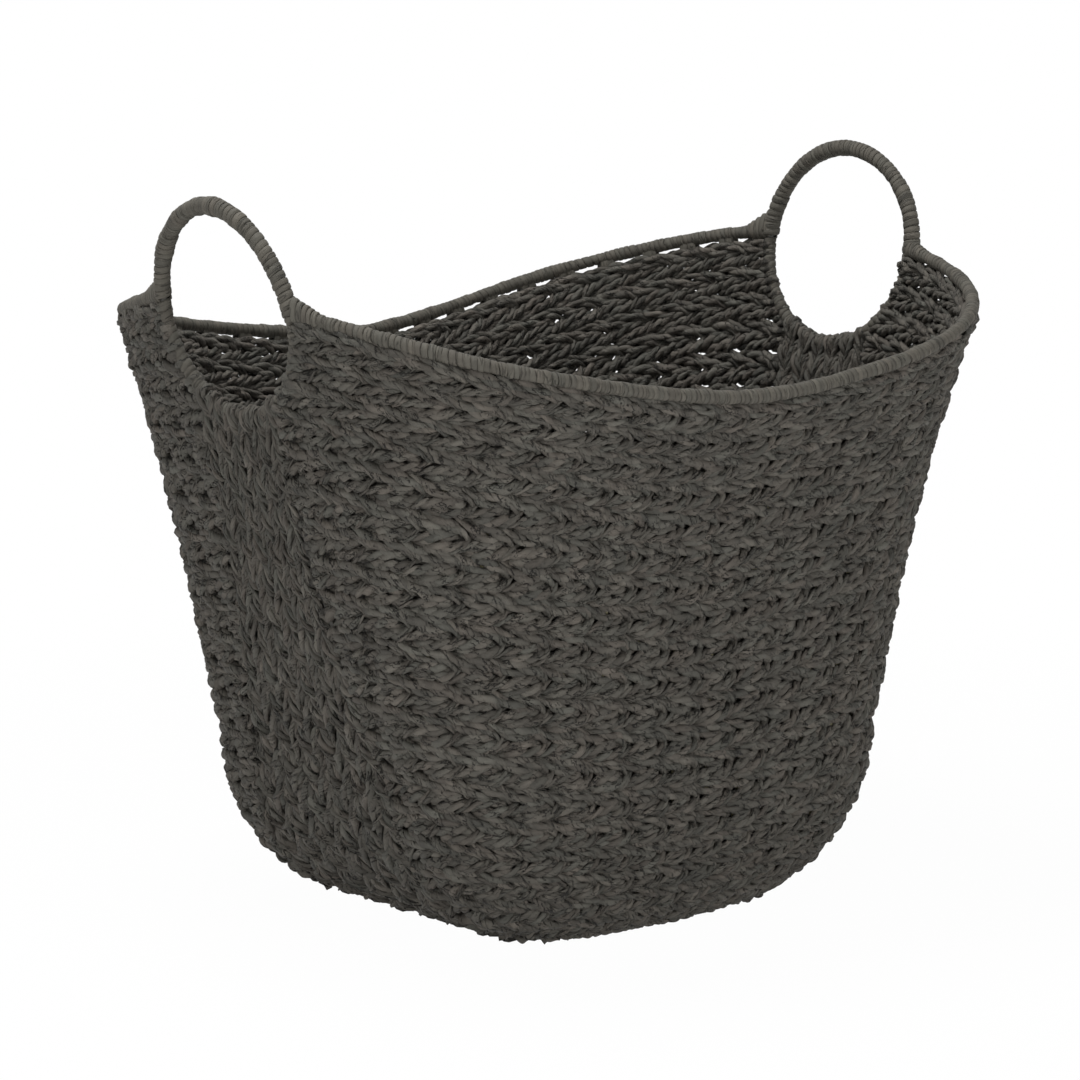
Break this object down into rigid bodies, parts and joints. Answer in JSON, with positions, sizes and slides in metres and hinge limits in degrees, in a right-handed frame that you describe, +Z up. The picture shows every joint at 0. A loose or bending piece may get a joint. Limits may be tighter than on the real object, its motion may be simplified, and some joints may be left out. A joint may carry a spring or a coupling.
{
  "type": "scoop basket",
  "caption": "Tapered open basket of twisted paper cord woven on a wire frame, with a dipping wrapped rim and a round hand ring at each end.",
  "frame": {"origin": "middle of the foot, on the floor that the basket stands on", "axes": "+X from the left hand ring to the right one, -Y towards the front wall, +Z up"},
  "size_m": [0.4946, 0.3866, 0.4338],
  "materials": {
    "woven_cord": "matte twisted paper cord, dyed dark taupe grey",
    "wound_cord": "matte paper cord wound close, a little lighter",
    "frame_wire": "dull steel wire"
  },
  "bodies": {
    "root": {"front_wall": "woven_cord", "back_wall": "woven_cord", "left_end_strip": "woven_cord", "right_end_strip": "woven_cord", "base_panel": "woven_cord", "handle_winding_left": "wound_cord", "handle_winding_right": "wound_cord", "ring_sleeve_left": "wound_cord", "ring_sleeve_right": "wound_cord", "rim_wrap_front": "wound_cord", "rim_wrap_back": "wound_cord", "lashing_front_left": "wound_cord", "lashing_back_left": "wound_cord", "lashing_front_right": "wound_cord", "lashing_back_right": "wound_cord", "ring_wire_left": "frame_wire", "ring_wire_right": "frame_wire", "rim_wire_front": "frame_wire", "rim_wire_back": "frame_wire", "foot_hoop": "frame_wire", "seam_wire_front_left": "frame_wire", "seam_wire_back_left": "frame_wire", "seam_wire_front_right": "frame_wire", "seam_wire_back_right": "frame_wire", "front_stake_01": "frame_wire", "front_stake_02": "frame_wire", "front_stake_03": "frame_wire", "front_stake_04": "frame_wire", "front_stake_05": "frame_wire", "front_stake_06": "frame_wire", "front_stake_07": "frame_wire", "front_stake_08": "frame_wire", "front_stake_09": "frame_wire", "front_stake_10": "frame_wire", "front_stake_11": "frame_wire", "front_stake_12": "frame_wire", "front_stake_13": "frame_wire", "front_stake_14": "frame_wire", "front_stake_15": "frame_wire", "back_stake_01": "frame_wire", "back_stake_02": "frame_wire", "back_stake_03": "frame_wire", "back_stake_04": "frame_wire", "back_stake_05": "frame_wire", "back_stake_06": "frame_wire", "back_stake_07": "frame_wire", "back_stake_08": "frame_wire", "back_stake_09": "frame_wire", "back_stake_10": "frame_wire", "back_stake_11": "frame_wire", "back_stake_12": "frame_wire", "back_stake_13": "frame_wire", "back_stake_14": "frame_wire", "back_stake_15": "frame_wire"}
  },
  "joints": []
}
